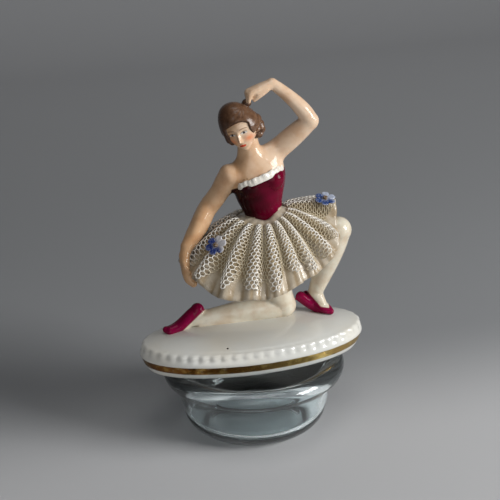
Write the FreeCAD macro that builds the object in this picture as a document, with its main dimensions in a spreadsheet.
"""Dancer trinket jar: an oval porcelain lid with a kneeling dancer, resting on a round glass jar.

Millimetres, +Z up. The origin is the centre of the ring that the jar stands on. +X runs along the
oval lid towards the dancer's raised knee, and -Y is the side that the dancer faces.
"""

import FreeCAD
import Part
import Sketcher

import math
import os

from FreeCAD import Placement, Rotation, Vector

doc = FreeCAD.newDocument("dancer_trinket_jar")
sheet = doc.addObject("Spreadsheet::Sheet", "sizes")

# Driving dimensions: name, value, what it measures

SIZES = [
    ("jar_height", 28.0, "glass jar from its standing ring to the crest of its lip"),
    ("mouth_radius", 27.4, "inside of the jar wall"),
    ("glass_wall", 3.0, "jar wall"),
    ("glass_floor", 4.0, "jar floor"),
    ("lip_radius", 4.0, "round section of the rolled lip"),
    ("jar_corner", 8.0, "outer corner between wall and foot"),
    ("jar_taper", 2.2, "how much the wall draws in from lip to foot"),
    ("standing_ring", 4.0, "width of the ring the jar stands on"),
    ("punt_depth", 1.0, "hollow under the jar floor"),
    ("seat_gap", 0.15, "running gap between lid and lip"),
    ("plinth_length", 88.0, "oval lid, long axis"),
    ("plinth_width", 42.0, "oval lid, short axis"),
    ("moulding_height", 10.2, "lid from its foot to the edge of the deck"),
    ("deck_rise", 3.2, "crown of the domed deck above its edge"),
    ("plinth_wall", 3.0, "cast wall of the hollow lid"),
    ("foot_inset", 3.0, "lid foot inside the widest line"),
    ("deck_inset", 1.3, "deck edge inside the widest line"),
    ("bead_radius", 1.2, "beads of the moulded border"),
    ("bead_count", 50.0, "beads round the border"),
    ("flange_length", 52.0, "locating flange, long axis"),
    ("flange_width", 26.0, "locating flange, short axis"),
    ("flange_wall", 2.4, "locating flange wall"),
    ("flange_depth", 2.0, "reach of the flange into the jar mouth"),
    ("knee_x", 13.9, "kneeling knee along the lid"),
    ("knee_y", 5.0, "kneeling knee across the lid"),
    ("thigh_length", 27.0, "hip to knee"),
    ("shin_length", 30.0, "knee to ankle"),
    ("foot_length", 18.3, "heel to toe of a slipper"),
    ("hip_radius", 6.8, "top of the thigh"),
    ("knee_radius", 5.2, "round of the knee"),
    ("calf_radius", 5.1, "fullest part of the calf"),
    ("ankle_radius", 2.9, "ankle"),
    ("slipper_width", 5.6, "slipper across the ball of the foot"),
    ("slipper_depth", 4.4, "slipper from instep to sole"),
    ("pelvis_rise", 12.2, "waist above the hips"),
    ("hip_width", 19.0, "torso across the hips"),
    ("waist_width", 14.0, "torso across the waist"),
    ("bust_width", 20.8, "torso across the bust"),
    ("chest_width", 20.0, "torso across the shoulder blades"),
    ("torso_rise", 20.0, "waist to the top of the chest"),
    ("torso_depth", 14.0, "torso from front to back at the bust"),
    ("neck_radius", 3.5, "neck"),
    ("neck_length", 11.6, "top of the chest to the skull base"),
    ("head_height", 19.4, "chin to the top of the hair"),
    ("head_width", 13.6, "skull across the temples"),
    ("shoulder_radius", 4.2, "round of the shoulder"),
    ("elbow_radius", 3.3, "elbow"),
    ("wrist_radius", 2.3, "wrist"),
    ("upper_arm_length", 16.1, "shoulder to elbow"),
    ("forearm_length", 21.0, "elbow to wrist"),
    ("hand_length", 10.5, "wrist to fingertips"),
    ("hand_width", 5.6, "hand across the knuckles"),
    ("skirt_reach", 34.0, "tutu from the waist axis to the hem on its left"),
    ("skirt_drop", 22.4, "waist to hem in front"),
    ("skirt_wall", 0.9, "porcelain skirt and lace thickness"),
    ("flute_depth", 1.1, "half height of the skirt's flutes at the hem"),
    ("flute_count", 19.0, "flutes round the tutu"),
    ("lace_gap", 0.25, "lace frill above the underskirt"),
    ("lace_short", 3.4, "lace hem above the underskirt hem"),
    ("frill_height", 2.8, "neckline frill"),
    ("petal_length", 3.7, "flower petal"),
    ("petal_thick", 0.9, "flower petal thickness"),
]
for row, (alias, value, meaning) in enumerate(SIZES, start=1):
    sheet.set(f"A{row}", alias)
    sheet.set(f"B{row}", str(value))
    sheet.set(f"C{row}", meaning)
    sheet.setAlias(f"B{row}", alias)
doc.recompute()


def size(alias):
    """The value of a named cell."""
    return float(sheet.get(alias))


def bind(thing, **formulas):
    """Ties properties of an object to formulas of sheet names."""
    for name, formula in formulas.items():
        thing.setExpression(name.replace("__", "."), formula)
    return thing


def value_of(formula):
    """The number that a formula of sheet names gives, worked out in a spare cell."""
    sheet.set("E1", f"={formula}")
    sheet.recompute()
    return float(sheet.get("E1"))


# Small helpers for solids

def frame(centre, along, across):
    """A placement at centre whose Z runs along and whose X leans towards across."""
    along = Vector(along).normalize()
    across = Vector(across)
    across = (across - along * across.dot(along)).normalize()
    return Placement(centre, Rotation(across, along.cross(across), along, "ZXY"))


def oval(name, place, wide, deep):
    """An ellipse outline whose two radii are formulas of sheet names."""
    ring = doc.addObject("Part::Ellipse", name)
    ring.Placement = place
    return bind(ring, MajorRadius=wide, MinorRadius=deep)


def circle(name, place, radius):
    """A circle outline whose radius is a formula of sheet names."""
    ring = doc.addObject("Part::Circle", name)
    ring.Placement = place
    return bind(ring, Radius=radius)


def loft(name, rings):
    """A closed solid through outlines."""
    body = doc.addObject("Part::Loft", name)
    body.Sections = rings
    body.Solid = True
    body.MaxDegree = 3
    return body


def ball(name, centre, radius):
    """A sphere whose radius is a formula of sheet names."""
    solid = doc.addObject("Part::Sphere", name)
    solid.Placement = Placement(centre, Rotation())
    return bind(solid, Radius=radius)


def fuse(name, pieces):
    """One solid out of several that run into each other."""
    solid = doc.addObject("Part::MultiFuse", name)
    solid.Shapes = pieces
    solid.Refine = False
    return solid


def cut(name, base, tool):
    """Base less tool."""
    solid = doc.addObject("Part::Cut", name)
    solid.Base = base
    solid.Tool = tool
    solid.Refine = False
    return solid


def limb(name, start, end, across, radii, bow=Vector()):
    """A tapering limb from start to end, bowed aside. radii holds (share of the length, radius formula)."""
    along = end - start
    rings = []
    for index, (share, radius) in enumerate(radii):
        centre = start + along * share + bow * (4 * share * (1 - share))
        rings.append(circle(f"{name}_ring_{index}", frame(centre, along, across), radius))
    return loft(name, rings)


def two_links(root, tip, first, second, towards):
    """The joint between two links of fixed length from root to tip, bent towards a direction."""
    line = tip - root
    reach = line.Length
    near = (first**2 - second**2 + reach**2) / (2 * reach)
    out = math.sqrt(max(first**2 - near**2, 0.0))
    unit = line / reach
    side = (towards - unit * towards.dot(unit)).normalize()
    return root + unit * near + side * out


def turned(angle, tilt=0.0):
    """A unit vector at a compass angle in the XY plane, tilted up by tilt degrees."""
    flat = math.cos(math.radians(tilt))
    return Vector(
        flat * math.cos(math.radians(angle)),
        flat * math.sin(math.radians(angle)),
        math.sin(math.radians(tilt)),
    )


SIDEWAYS = Vector(1, 0, 0)
BACKWARDS = Vector(0, 1, 0)
UPWARDS = Vector(0, 0, 1)


# Glass jar: a revolved wall with a punt under the floor, and a rolled lip on top

def origin_plane(body, role):
    """One of a body's own origin planes."""
    return next(f for f in body.Origin.OriginFeatures if f.Role == role)


def new_sketch(body, name, role):
    """A sketch on one of the body's origin planes."""
    sketch = body.newObject("Sketcher::SketchObject", name)
    sketch.AttachmentSupport = (origin_plane(body, role), [""])
    sketch.MapMode = "FlatFace"
    return sketch


def outline(sketch, corners):
    """A closed outline of straight edges. Each corner is a pair of formulas, measured from the axis."""
    flat = [Vector(*[value_of(f) for f in corner], 0) for corner in corners]
    count = len(flat)
    for index in range(count):
        sketch.addGeometry(Part.LineSegment(flat[index], flat[(index + 1) % count]), False)
    for index in range(count):
        follower = (index + 1) % count
        sketch.addConstraint(Sketcher.Constraint("Coincident", index, 2, follower, 1))
    for index, (across, up) in enumerate(corners):
        corner = flat[index]
        for kind, formula, value in (("DistanceX", across, corner.x), ("DistanceY", up, corner.y)):
            place = sketch.addConstraint(Sketcher.Constraint(kind, -1, 1, index, 1, value))
            if "sizes." in formula:
                sketch.setExpression(f"Constraints[{place}]", formula)


def glass_jar():
    """The jar as one revolved body with rounded corners and a rolled lip."""
    body = doc.addObject("PartDesign::Body", "glass_jar")
    wall = new_sketch(body, "jar_wall_profile", "XZ_Plane")
    inner, outer = "sizes.mouth_radius", "sizes.mouth_radius + sizes.glass_wall"
    foot = f"{outer} - sizes.jar_taper"
    ring_in = f"{foot} - sizes.jar_corner - sizes.standing_ring"
    top = "sizes.jar_height - sizes.lip_radius"
    outline(wall, [
        ("0", "sizes.punt_depth"),
        (ring_in, "sizes.punt_depth"),
        (f"{ring_in} + sizes.punt_depth", "0"),
        (foot, "0"),
        (outer, top),
        (inner, top),
        (f"{inner} - sizes.jar_taper", "sizes.glass_floor"),
        ("0", "sizes.glass_floor"),
    ])
    doc.recompute()
    turn = body.newObject("PartDesign::Revolution", "jar_wall")
    turn.Profile = wall
    turn.ReferenceAxis = (wall, ["V_Axis"])
    turn.Angle = 360
    doc.recompute()
    corners = [edge_at(turn.Shape, value_of(foot), 0.0)]
    rounding = body.newObject("PartDesign::Fillet", "foot_corner")
    rounding.Base = (turn, corners)
    bind(rounding, Radius="sizes.jar_corner * 0.98")
    doc.recompute()
    inside = body.newObject("PartDesign::Fillet", "floor_corner")
    inner_floor = edge_at(rounding.Shape, value_of(f"{inner} - sizes.jar_taper"), size("glass_floor"))
    inside.Base = (rounding, [inner_floor])
    bind(inside, Radius="sizes.jar_corner - sizes.glass_wall")
    doc.recompute()
    bead = new_sketch(body, "lip_profile", "XZ_Plane")
    radius = size("lip_radius")
    middle = Vector(size("mouth_radius") + radius, size("jar_height") - radius, 0)
    bead.addGeometry(Part.Circle(middle, UPWARDS, radius), False)
    for kind, formula, value in (
        ("DistanceX", "sizes.mouth_radius + sizes.lip_radius", middle.x),
        ("DistanceY", "sizes.jar_height - sizes.lip_radius", middle.y),
    ):
        place = bead.addConstraint(Sketcher.Constraint(kind, -1, 1, 0, 3, value))
        bead.setExpression(f"Constraints[{place}]", formula)
    place = bead.addConstraint(Sketcher.Constraint("Radius", 0, radius))
    bead.setExpression(f"Constraints[{place}]", "sizes.lip_radius")
    doc.recompute()
    lip = body.newObject("PartDesign::Revolution", "jar_lip")
    lip.Profile = bead
    lip.ReferenceAxis = (bead, ["V_Axis"])
    lip.Angle = 360
    doc.recompute()
    return body


def edge_at(shape, radius, height):
    """The name of the round edge of that radius at that height."""
    best, name = 1e9, None
    for index, edge in enumerate(shape.Edges, start=1):
        if not isinstance(edge.Curve, Part.Circle):
            continue
        miss = abs(edge.Curve.Radius - radius) + abs(edge.Curve.Center.z - height)
        if miss < best:
            best, name = miss, f"Edge{index}"
    return name


# Lid: an oval cast plinth with a beaded border, hollow underneath, with a locating flange

def plinth_ring(name, inset, height, share="1"):
    """An oval of the plinth, drawn in by inset from the widest line, at a height above the foot."""
    lift = f"sizes.jar_height + sizes.seat_gap + ({height})"
    ring = oval(
        name,
        Placement(Vector(0, 0, value_of(lift)), Rotation()),
        f"(sizes.plinth_length / 2 - ({inset})) * ({share})",
        f"(sizes.plinth_width / 2 - ({inset})) * ({share})",
    )
    return bind(ring, Placement__Base__z=lift)


def flange_ring(name, height, inset="0"):
    """An oval of the locating flange at a height above the foot."""
    lift = f"sizes.jar_height + sizes.seat_gap + ({height})"
    ring = oval(
        name,
        Placement(Vector(0, 0, value_of(lift)), Rotation()),
        f"sizes.flange_length / 2 - ({inset})",
        f"sizes.flange_width / 2 - ({inset})",
    )
    return bind(ring, Placement__Base__z=lift)


def bead_places():
    """Evenly spaced points along the border, on the oval just inside the widest line."""
    inset = size("bead_radius") * 0.85
    long = size("plinth_length") / 2 - inset
    short = size("plinth_width") / 2 - inset
    height = size("jar_height") + size("seat_gap") + size("moulding_height") * 0.87
    border = Part.Ellipse(Vector(0, 0, height), long, short).toShape()
    count = int(size("bead_count"))
    return border.discretize(Number=count + 1)[:count]


def plinth():
    """The hollow oval lid with its moulding, domed deck, bead border and flange."""
    edge = "sizes.moulding_height"
    moulding = loft("plinth_moulding", [
        plinth_ring("foot_ring", "sizes.foot_inset", "0"),
        plinth_ring("band_low_ring", "sizes.foot_inset * 0.55", f"{edge} * 0.14"),
        plinth_ring("band_high_ring", "sizes.foot_inset * 0.18", f"{edge} * 0.36"),
        plinth_ring("widest_ring", "0", f"{edge} * 0.62"),
        plinth_ring("border_ring", "sizes.deck_inset * 0.3", f"{edge} * 0.83"),
        plinth_ring("deck_edge_ring", "sizes.deck_inset", edge),
    ])
    deck = loft("plinth_deck", [
        plinth_ring("deck_edge", "sizes.deck_inset", edge),
        plinth_ring("deck_outer", "sizes.deck_inset", f"{edge} + sizes.deck_rise * 0.5", "0.82"),
        plinth_ring("deck_middle", "sizes.deck_inset", f"{edge} + sizes.deck_rise * 0.86", "0.52"),
        plinth_ring("deck_crown", "sizes.deck_inset", f"{edge} + sizes.deck_rise", "0.22"),
    ])
    hollow = loft("plinth_hollow", [
        plinth_ring("hollow_foot", "sizes.foot_inset + sizes.plinth_wall", "-0.5"),
        plinth_ring("hollow_middle", "sizes.plinth_wall + 0.6", f"{edge} * 0.5"),
        plinth_ring("hollow_ceiling", "sizes.plinth_wall * 2", f"{edge} - sizes.plinth_wall"),
    ])
    shell = cut("plinth_shell", fuse("plinth_blank", [moulding, deck]), hollow)
    ceiling = f"{edge} - sizes.plinth_wall + 0.5"
    flange = cut(
        "flange_wall",
        loft("flange_outside", [
            flange_ring("flange_low", "-sizes.flange_depth"),
            flange_ring("flange_top", ceiling),
        ]),
        loft("flange_inside", [
            flange_ring("flange_bore_low", "-sizes.flange_depth - 1", "sizes.flange_wall"),
            flange_ring("flange_bore_top", f"{edge} - sizes.plinth_wall", "sizes.flange_wall"),
        ]),
    )
    beads = [
        ball(f"bead_{index}", point, "sizes.bead_radius") for index, point in enumerate(bead_places())
    ]
    return fuse("plinth", [shell, flange, *beads])


# Skeleton of the dancer, worked out from the sizes

def deck_height(x, y):
    """Height of the domed deck over a point of the plan."""
    long = size("plinth_length") / 2 - size("deck_inset")
    short = size("plinth_width") / 2 - size("deck_inset")
    out = min(math.hypot(x / long, y / short), 1.0)
    edge = size("jar_height") + size("seat_gap") + size("moulding_height")
    return edge + size("deck_rise") * (1 - out**3)


def on_deck(x, y, above):
    """A point at a height above the deck."""
    return Vector(x, y, deck_height(x, y) + above)


KNEE_SINK = 0.7
STANDING_SHIN = 0.935
knee = on_deck(size("knee_x"), size("knee_y"), size("knee_radius") * KNEE_SINK)
ankle = knee + Vector(-size("shin_length"), size("shin_length") * 0.03, 0)
ankle = on_deck(ankle.x, ankle.y, size("ankle_radius") * 0.86)
toe = ankle + Vector(-size("foot_length") * 0.96, -size("foot_length") * 0.11, 0)
toe = on_deck(toe.x, toe.y, size("slipper_depth") * 0.25)
hip = knee + Vector(-0.33, -0.04, 0.943).normalize() * size("thigh_length")
pelvis = hip + Vector(2.0, 2.0, 0.5)
raised_hip = pelvis + Vector(3.2, 2.0, -2.0)
standing_toe = on_deck(size("knee_x") + 18.4, 0.0, size("slipper_depth") * 0.25)
standing_ankle = standing_toe + Vector(-0.27, 0.34, 0.36) * size("foot_length")
raised_knee = two_links(
    raised_hip,
    standing_ankle,
    size("thigh_length"),
    size("shin_length") * STANDING_SHIN,
    Vector(1.0, -0.2, 0.5),
)
waist = pelvis + Vector(0.5, -1.0, size("pelvis_rise"))
chest = waist + Vector(-2.9, 0.0, size("torso_rise"))
neck_top = chest + Vector(-2.4, -0.8, size("neck_length"))
CHEST_TILT = 18.0
HEAD_LEAN = 14.0
HEAD_TURN = 12.0
right_shoulder = chest + Vector(-0.52 * size("chest_width"), 0.0, -2.4)
left_shoulder = chest + Vector(0.46 * size("chest_width"), 1.0, 4.7)


def tilted(angle):
    """Up, tilted by an angle towards the lowered arm."""
    return Vector(-math.sin(math.radians(angle)), 0, math.cos(math.radians(angle)))


head_up = tilted(HEAD_LEAN)
head_centre = neck_top + head_up * (size("head_height") * 0.30) + Vector(-1.0, -1.0, 0)
head_front = Vector(-math.sin(math.radians(HEAD_TURN)), -math.cos(math.radians(HEAD_TURN)), -0.12)
head_front = (head_front - head_up * head_front.dot(head_up)).normalize()
head_side = head_front.cross(head_up) * -1


def in_head(side, front, up):
    """A point of the head, in shares of its height from its centre."""
    reach = size("head_height")
    return head_centre + (head_side * side + head_front * front + head_up * up) * reach


# Legs: a thigh, a knee, a shin and a slipper each, run together and luted to the deck

def slipper(name, heel, ball_point, toe_point, up):
    """A ballet slipper from heel to toe."""
    along = toe_point - heel
    across = up.cross(along)
    middle = heel + (ball_point - heel) * 0.5 + up * 0.2
    rings = []
    for index, (centre, wide, deep) in enumerate([
        (heel, 0.40, 0.48),
        (middle, 0.44, 0.50),
        (ball_point, 0.50, 0.44),
        (toe_point - along * 0.06, 0.34, 0.26),
    ]):
        wide = f"sizes.slipper_width * {wide}"
        deep = f"min({wide} * 0.98; sizes.slipper_depth * {deep})"
        rings.append(oval(f"{name}_ring_{index}", frame(centre, along, across), wide, deep))
    return loft(name, rings)


def leg(name, hip_point, knee_point, ankle_point, heel, ball_point, toe_point, up):
    """One whole leg before it is trimmed by its neighbours."""
    thigh = limb(f"{name}_thigh", hip_point, knee_point, BACKWARDS, [
        (0.0, "sizes.hip_radius"),
        (0.5, "sizes.hip_radius * 0.55 + sizes.knee_radius * 0.45"),
        (1.0, "sizes.knee_radius * 0.97"),
    ])
    shin = limb(f"{name}_shin", knee_point, ankle_point, BACKWARDS, [
        (0.0, "sizes.knee_radius * 0.94"),
        (0.32, "sizes.calf_radius"),
        (0.72, "sizes.calf_radius * 0.45 + sizes.ankle_radius * 0.55"),
        (1.0, "sizes.ankle_radius"),
    ])
    instep = limb(f"{name}_instep", ankle_point, ball_point, up, [
        (0.0, "sizes.ankle_radius * 0.98"),
        (1.0, "min(sizes.slipper_depth; sizes.slipper_width) * 0.42"),
    ])
    return fuse(f"{name}_blank", [
        thigh,
        ball(f"{name}_hip", hip_point, "sizes.hip_radius * 1.02"),
        ball(f"{name}_knee", knee_point, "sizes.knee_radius"),
        shin,
        ball(f"{name}_ankle", ankle_point, "sizes.ankle_radius * 1.04"),
        instep,
        ball(f"{name}_heel", heel, "min(sizes.slipper_depth; sizes.slipper_width) * 0.5"),
        slipper(f"{name}_slipper", heel, ball_point, toe_point, up),
        ball(f"{name}_toe", toe_point - (toe_point - heel) * 0.06, "sizes.slipper_depth * 0.32"),
    ])


def kneeling_leg():
    """The leg that kneels, its instep flat on the deck and its heel up."""
    ball_point = ankle + (toe - ankle) * 0.62
    ball_point = on_deck(ball_point.x, ball_point.y, size("slipper_depth") * 0.42)
    heel = ankle + Vector(-0.22, 0.04, 0.17) * size("foot_length")
    return leg("kneeling_leg", hip, knee, ankle, heel, ball_point, toe, Vector(0.3, 0, 1))


def standing_leg():
    """The leg that stands on its toes with a raised heel."""
    heel = standing_ankle + Vector(-0.16, 0.13, -0.12) * size("foot_length")
    ball_point = heel + (standing_toe - heel) * 0.68
    ball_point = on_deck(ball_point.x, ball_point.y, size("slipper_depth") * 0.5)
    joints = raised_hip, raised_knee, standing_ankle
    return leg("standing_leg", *joints, heel, ball_point, standing_toe, UPWARDS)


# Torso, head and hair

def torso():
    """Hips, waist, bust, chest and neck in one loft, with a rounded bust."""
    rings = []
    deep = "sizes.torso_depth"
    flank = "sizes.hip_width * 0.2 + sizes.waist_width * 0.3"
    ribs = "sizes.waist_width * 0.25 + sizes.bust_width * 0.25"
    neck = "sizes.neck_radius"
    bust = waist + (chest - waist) * 0.70 + Vector(0.7, 0, 0)
    for index, (centre, tilt, wide, depth) in enumerate([
        (pelvis + Vector(0, 0, -6.0), 0.0, "sizes.hip_width * 0.38", f"{deep} * 0.40"),
        (pelvis, 0.0, "sizes.hip_width * 0.5", f"{deep} * 0.52"),
        (pelvis + (waist - pelvis) * 0.6, 0.0, flank, f"{deep} * 0.45"),
        (waist, 2.0, "sizes.waist_width * 0.5", f"{deep} * 0.39"),
        (waist + (chest - waist) * 0.36, 7.0, ribs, f"{deep} * 0.45"),
        (bust, 13.0, "sizes.bust_width * 0.5", f"{deep} * 0.5"),
        (chest, CHEST_TILT, "sizes.chest_width * 0.5", f"{deep} * 0.42"),
        (chest + (neck_top - chest) * 0.40, 10.0, f"{neck} * 1.55", f"{neck} * 1.25"),
        (chest + (neck_top - chest) * 0.66, 4.0, f"{neck} * 1.1", f"{neck} * 1.04"),
        (neck_top, 0.0, f"{neck} * 1.02", neck),
    ]):
        place = frame(centre, tilted(tilt), SIDEWAYS)
        rings.append(oval(f"torso_ring_{index}", place, wide, f"min(({wide}) * 0.98; {depth})"))
    trunk = loft("torso_trunk", rings)
    forward = -size("torso_depth") * 0.25
    bust_side = size("bust_width") * 0.22
    breasts = [
        ball("right_bust", bust + Vector(-bust_side, forward, -0.8), "sizes.torso_depth * 0.31"),
        ball("left_bust", bust + Vector(bust_side, forward, 1.4), "sizes.torso_depth * 0.31"),
    ]
    return fuse("torso", [trunk, *breasts])


def head_oval(name, up, front, wide, deep):
    """A cross oval of the head, in shares of its height and width."""
    place = frame(in_head(0, front, up), head_up, head_side)
    deep = f"sizes.head_height * {deep}"
    return oval(name, place, f"max(sizes.head_width * {wide}; {deep} * 1.01)", deep)


def egg(name, centre, up, front, side):
    """An egg shape in the head's own directions. The radii are formulas."""
    solid = doc.addObject("Part::Ellipsoid", name)
    solid.Placement = frame(centre, head_up, head_side)
    solid.Angle1 = -90
    solid.Angle2 = 90
    solid.Angle3 = 360
    return bind(solid, Radius1=up, Radius2=side, Radius3=front)


def head():
    """Skull, face and dressed hair, with a hair knot on the crown."""
    face = loft("face", [
        head_oval("brow_ring", 0.16, 0.03, 0.44, 0.29),
        head_oval("cheek_ring", 0.00, 0.05, 0.44, 0.29),
        head_oval("mouth_ring", -0.20, 0.09, 0.36, 0.235),
        head_oval("jaw_ring", -0.36, 0.12, 0.29, 0.185),
        head_oval("chin_ring", -0.47, 0.15, 0.17, 0.10),
    ])
    skull = egg("skull", in_head(0, -0.02, 0.03), "sizes.head_height * 0.34",
                "sizes.head_height * 0.37", "sizes.head_width * 0.48")
    nose = egg("nose", in_head(0, 0.345, -0.06), "sizes.head_height * 0.10",
               "sizes.head_height * 0.055", "sizes.head_height * 0.045")
    cap = egg("hair_cap", in_head(0, -0.045, 0.05), "sizes.head_height * 0.365",
              "sizes.head_height * 0.40", "sizes.head_width * 0.545")
    opening = doc.addObject("Part::Box", "hair_opening")
    opening.Placement = frame(in_head(0.6, 0.10, 0.18), head_front, head_up * -1)
    bind(opening, Length="sizes.head_height", Width="sizes.head_height * 1.2", Height="sizes.head_height")
    dressed = cut("dressed_hair", cap, opening)
    knot = egg("hair_knot", in_head(0.22, -0.06, 0.36), "sizes.head_height * 0.085",
               "sizes.head_height * 0.10", "sizes.head_height * 0.12")
    return fuse("head_blank", [skull, face, nose, dressed, knot])


def hair_bun():
    """The applied bunch of curls over the ear."""
    curls = []
    for index, (side, front, up, radius) in enumerate([
        (0.40, -0.02, 0.06, 0.11),
        (0.44, 0.00, -0.08, 0.13),
        (0.42, 0.02, -0.22, 0.12),
        (0.36, -0.14, 0.00, 0.12),
        (0.36, -0.14, -0.16, 0.12),
        (0.35, 0.08, -0.04, 0.09),
        (0.35, 0.09, -0.17, 0.09),
    ]):
        curls.append(ball(f"curl_{index}", in_head(side, front, up), f"sizes.head_height * {radius}"))
    return fuse("hair_bun_blank", curls)


# Arms

def flat_limb(name, start, end, ovals):
    """A flattened tapering limb. ovals holds (share of the length, width and depth in hand widths)."""
    along = end - start
    rings = []
    for index, (share, wide, deep) in enumerate(ovals):
        place = frame(start + along * share, along, BACKWARDS)
        wide, deep = f"sizes.hand_width * {wide}", f"sizes.hand_width * {deep}"
        rings.append(oval(f"{name}_ring_{index}", place, wide, deep))
    return loft(name, rings)


def arm(name, shoulder, elbow, wrist, knuckle, fingertip, bow):
    """One whole arm before it is trimmed by its neighbours. Its forearm is bowed outwards."""
    upper = limb(f"{name}_upper", shoulder, elbow, BACKWARDS, [
        (0.0, "sizes.shoulder_radius * 0.96"),
        (0.55, "sizes.shoulder_radius * 0.5 + sizes.elbow_radius * 0.46"),
        (1.0, "sizes.elbow_radius * 0.97"),
    ])
    lower = limb(f"{name}_lower", elbow, wrist, BACKWARDS, [
        (0.0, "sizes.elbow_radius * 0.95"),
        (0.25, "sizes.elbow_radius * 0.98"),
        (0.55, "sizes.elbow_radius * 0.52 + sizes.wrist_radius * 0.46"),
        (1.0, "sizes.wrist_radius"),
    ], bow)
    palm = [(0.0, 0.40, 0.36), (0.5, 0.48, 0.35), (1.0, 0.46, 0.30)]
    fingers = [(0.0, 0.46, 0.30), (0.6, 0.40, 0.25), (1.0, 0.26, 0.17)]
    return fuse(f"{name}_blank", [
        ball(f"{name}_shoulder", shoulder, "sizes.shoulder_radius"),
        upper,
        ball(f"{name}_elbow", elbow, "sizes.elbow_radius"),
        lower,
        ball(f"{name}_wrist", wrist, "sizes.wrist_radius * 1.03"),
        flat_limb(f"{name}_palm", wrist, knuckle, palm),
        ball(f"{name}_knuckle", knuckle, "sizes.hand_width * 0.32"),
        flat_limb(f"{name}_fingers", knuckle, fingertip, fingers),
    ])


def raised_arm():
    """The arm whose fingers are bent down on the hair knot."""
    fingertip = in_head(0.26, -0.055, 0.39)
    knuckle = fingertip + Vector(0.16, 0.28, 0.95).normalize() * (size("hand_length") * 0.24)
    wrist = knuckle + Vector(0.96, 0.05, 0.27).normalize() * (size("hand_length") * 0.86)
    links = size("upper_arm_length"), size("forearm_length")
    elbow = two_links(left_shoulder, wrist, *links, Vector(1, -0.35, -0.15))
    return arm("raised_arm", left_shoulder, elbow, wrist, knuckle, fingertip, Vector(1.0, 0, 0.9))


def lowered_arm():
    """The arm that hangs beside the tutu, its fingers at the hem."""
    grip = skirt_point(GRIP_ANGLE, 0.99, 0.0) + turned(GRIP_ANGLE) * 1.4
    wrist = grip + Vector(0.02, 0.45, 0.88).normalize() * (size("hand_length") * 0.8)
    knuckle = wrist + (grip - wrist) * 0.6
    fingertip = wrist + (grip - wrist).normalize() * size("hand_length")
    links = size("upper_arm_length"), size("forearm_length")
    elbow = two_links(right_shoulder, wrist, *links, Vector(-0.3, 1, -0.15))
    return arm("lowered_arm", right_shoulder, elbow, wrist, knuckle, fingertip, Vector(-0.9, 0, -0.3))


# Tutu: a fluted underskirt, a lace frill over it and a frill at the neckline

HEM = [
    (6, 0.82, -0.10),
    (45, 0.74, 0.58),
    (90, 0.68, 0.95),
    (140, 0.80, 1.00),
    (178, 0.95, 0.78),
    (202, 0.98, 0.76),
    (228, 0.95, 0.98),
    (253, 0.84, 1.00),
    (300, 0.72, 0.83),
    (333, 0.82, 0.58),
]
GRIP_ANGLE = 196.0
WAIST_SHARE = 0.42


def hem_share(angle):
    """Shares of reach and drop at a compass angle, eased between the neighbouring directions."""
    angle = (angle - HEM[0][0]) % 360 + HEM[0][0]
    ring = HEM + [(HEM[0][0] + 360, *HEM[0][1:])]
    for (low, *start), (high, *end) in zip(ring, ring[1:]):
        if low <= angle <= high:
            part = (angle - low) / (high - low)
            ease = part * part * (3 - 2 * part)
            return [a + (b - a) * ease for a, b in zip(start, end)]


def skirt_smooth(angle, share):
    """The tutu without flutes: share runs from waist to hem."""
    reach, drop = hem_share(angle)
    near = size("waist_width") * WAIST_SHARE
    out = near + (reach * size("skirt_reach") - near) * share
    fall = drop * size("skirt_drop") * max(share, 0.0) ** 1.5 - 0.8 * math.sin(math.pi * share)
    return waist + turned(angle) * out - UPWARDS * fall


def skirt_axes(angle, share):
    """Down the tutu and out of its face, at one place."""
    step = 0.01
    slope = skirt_smooth(angle, share + step) - skirt_smooth(angle, share - step)
    round_about = skirt_smooth(angle + 1, share) - skirt_smooth(angle - 1, share)
    normal = slope.cross(round_about).normalize()
    return slope, normal if normal.z > 0 else normal * -1


def skirt_point(angle, share, lift):
    """The fluted tutu, lifted off its inner face along its normal."""
    slope, normal = skirt_axes(angle, share)
    flute = math.cos(math.radians(angle) * round(size("flute_count")))
    wave = flute * size("flute_depth") * min(share * 1.15, 1.0) ** 1.3
    return skirt_smooth(angle, share) + normal * (wave + lift)


def shell(name, outer, inner):
    """A closed thin shell between two stacks of closed point rings."""
    sides = []
    ends = []
    for stack in (outer, inner):
        wires = []
        for points in stack:
            curve = Part.BSplineCurve()
            curve.interpolate(Points=points, PeriodicFlag=True)
            wires.append(Part.Wire(curve.toShape()))
        sides += Part.makeLoft(wires, False, False).Faces
        ends.append((wires[0], wires[-1]))
    for out_wire, in_wire in zip(*ends):
        sides += Part.makeRuledSurface(out_wire.Edges[0], in_wire.Edges[0]).Faces
    skin = Part.makeShell(sides)
    skin.sewShape()
    solid = Part.makeSolid(Part.Shell(skin.Faces))
    if solid.Volume < 0:
        solid.reverse()
    thing = doc.addObject("Part::Feature", name)
    thing.Shape = solid
    return thing


def tutu_layer(name, low, high, start, end):
    """A layer of the tutu between two lifts, from one share of the way down to another."""
    count = round(size("flute_count")) * 8
    angles = [360 * index / count for index in range(count)]
    rows = 7
    shares = [start + (end - start) * row / (rows - 1) for row in range(rows)]
    outer = [[skirt_point(angle, share, high) for angle in angles] for share in shares]
    inner = [[skirt_point(angle, share, low) for angle in angles] for share in shares]
    return shell(name, outer, inner)


def underskirt():
    """The smooth fluted porcelain skirt."""
    return tutu_layer("underskirt_blank", 0.0, size("skirt_wall"), 0.0, 1.0)


def lace_overskirt():
    """The lace frill laid over the underskirt."""
    low = size("skirt_wall") + size("lace_gap")
    end = 1 - size("lace_short") / size("skirt_reach")
    return tutu_layer("lace_blank", low, low + size("skirt_wall") * 0.8, 0.05, end)


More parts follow.
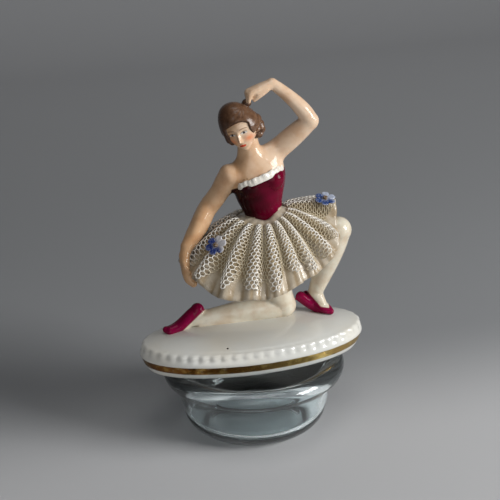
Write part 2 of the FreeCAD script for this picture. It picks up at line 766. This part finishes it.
def neckline_frill():
    """The little frill round the top of the bodice."""
    centre = waist + (chest - waist) * 0.71
    up = tilted(CHEST_TILT)
    side = Vector(up.z, 0, -up.x)
    flutes = 26
    count = flutes * 6
    rise = size("frill_height")
    stacks = []
    for lift in (size("skirt_wall") * 0.9, 0.0):
        stack = []
        for share in (0.0, 0.5, 1.0):
            points = []
            for index in range(count):
                turn = 2 * math.pi * index / count
                wave = 0.28 * math.cos(turn * flutes) * share + 0.5 * math.sin(math.pi * share)
                wide = (size("bust_width") * 0.51 + lift + wave) * math.cos(turn)
                deep = (size("torso_depth") * 0.53 + lift + wave) * math.sin(turn)
                points.append(centre + side * wide + BACKWARDS * deep + up * (rise * share))
            stack.append(points)
        stacks.append(stack)
    return shell("frill_blank", *stacks)


# Flowers pressed on the lace, each on the crest of a flute

PETALS = 6
PETAL_CUP = 14.0
PETAL_LIFT = 0.3


def crest_angle(angle):
    """The crest of a flute nearest to a compass angle."""
    pitch = 360 / round(size("flute_count"))
    return round(angle / pitch) * pitch


def flower(name, angle, share, spin):
    """Six cupped petals on a boss, and the flower's centre. The boss sits in the lace."""
    angle = crest_angle(angle)
    slope, normal = skirt_axes(angle, share)
    seat = skirt_point(angle, share, size("skirt_wall") * 1.8 + size("lace_gap"))
    base = frame(seat + normal * PETAL_LIFT, normal, slope)
    out = Vector(size("petal_length") * 0.55, 0, size("petal_thick") * 0.5)
    petals = [ball(f"{name}_boss", seat + normal * (size("petal_thick") * 0.5), "sizes.petal_length * 0.3")]
    for index in range(PETALS):
        petal = doc.addObject("Part::Ellipsoid", f"{name}_petal_{index}")
        turn = Placement(Vector(), Rotation(UPWARDS, 360 / PETALS * index + spin))
        petal.Placement = base.multiply(turn).multiply(Placement(out, Rotation(BACKWARDS, -PETAL_CUP)))
        petal.Angle1 = -90
        petal.Angle2 = 90
        petal.Angle3 = 360
        petals.append(bind(
            petal,
            Radius1="sizes.petal_thick * 0.5",
            Radius2="sizes.petal_length * 0.62",
            Radius3="sizes.petal_length * 0.34",
        ))
    top = seat + normal * (PETAL_LIFT + size("petal_thick") * 1.25)
    centre = ball(f"{name}_centre_blank", top, "sizes.petal_length * 0.25")
    return fuse(f"{name}_petals_blank", petals), centre


# Assembly: each piece is trimmed by the pieces it is luted to

def named(thing, label):
    """Gives a finished piece its name."""
    thing.Label = label
    return thing


def trimmed(label, blank, *neighbours):
    """A piece less the neighbours it is pressed against."""
    for index, neighbour in enumerate(neighbours):
        blank = cut(f"{label}_trim_{index}", blank, neighbour)
    return named(blank, label)


jar = glass_jar()
base = plinth()
trunk = torso()
kneeling = trimmed("kneeling_leg", kneeling_leg(), base, trunk)
standing = trimmed("standing_leg", standing_leg(), base, trunk, kneeling)
skull = trimmed("head", head(), trunk)
bun = trimmed("hair_bun", hair_bun(), skull)
skirt = trimmed("underskirt", underskirt(), trunk, standing)
high_arm = trimmed("raised_arm", raised_arm(), trunk, skull, bun)
low_arm = trimmed("lowered_arm", lowered_arm(), trunk, skirt)
frill = trimmed("neckline_frill", neckline_frill(), trunk, low_arm, high_arm)
flowers = []
for side, angle, share in (("left", 208.0, 0.61), ("right", 0.0, 0.80)):
    petals, centre = flower(f"{side}_flower", angle, share, 15.0)
    named(petals, f"{side}_flower_petals")
    flowers += [petals, trimmed(f"{side}_flower_centre", centre, petals)]
lace = trimmed("lace_overskirt", lace_overskirt(), trunk, standing, low_arm, flowers[0], flowers[2])
pieces = [jar, base, trunk, kneeling, standing, skull, bun, skirt, lace, high_arm, low_arm, frill, *flowers]
doc.recompute()

# Checks and export

for thing in doc.Objects:
    if {"Invalid", "Error"} & set(thing.State):
        raise ValueError(f"{thing.Name} did not build: {thing.State}")
os.makedirs("parts", exist_ok=True)
for piece in pieces:
    shape = piece.Shape
    if shape.isNull() or not shape.isValid() or not shape.Solids:
        raise ValueError(f"{piece.Label} has no valid solid")
    print(piece.Label, len(shape.Solids), round(shape.Volume, 1))
    shape.exportStep(f"parts/{piece.Label}.step")
